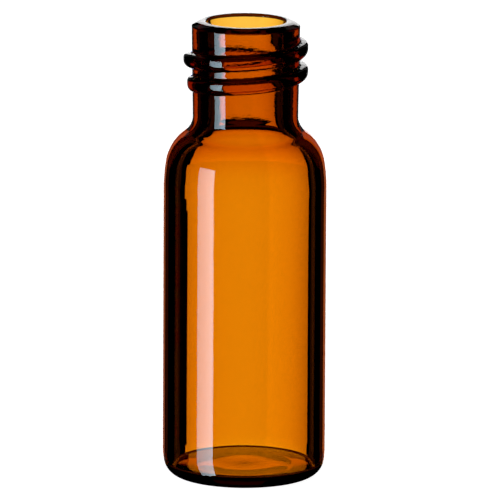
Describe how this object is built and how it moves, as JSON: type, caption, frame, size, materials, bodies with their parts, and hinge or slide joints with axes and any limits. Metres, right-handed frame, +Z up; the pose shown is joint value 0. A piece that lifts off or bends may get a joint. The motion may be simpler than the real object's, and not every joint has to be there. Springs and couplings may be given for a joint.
{
  "type": "glass sample vial",
  "caption": "Small amber glass vial with a straight barrel, rounded shoulder, narrow screw-thread neck with an open rim, and a slightly pushed-up base.",
  "frame": {"origin": "centre of the plane the vial stands on", "axes": "+Z up along the vial's axis, from the base to the mouth; the picture looks along +Y"},
  "size_m": [0.0116, 0.0116, 0.0325],
  "materials": {
    "amber_glass": "clear amber glass, smooth and fire-polished, with faint drawing streaks in the neck"
  },
  "bodies": {
    "root": {"vial": "amber_glass"}
  },
  "joints": []
}
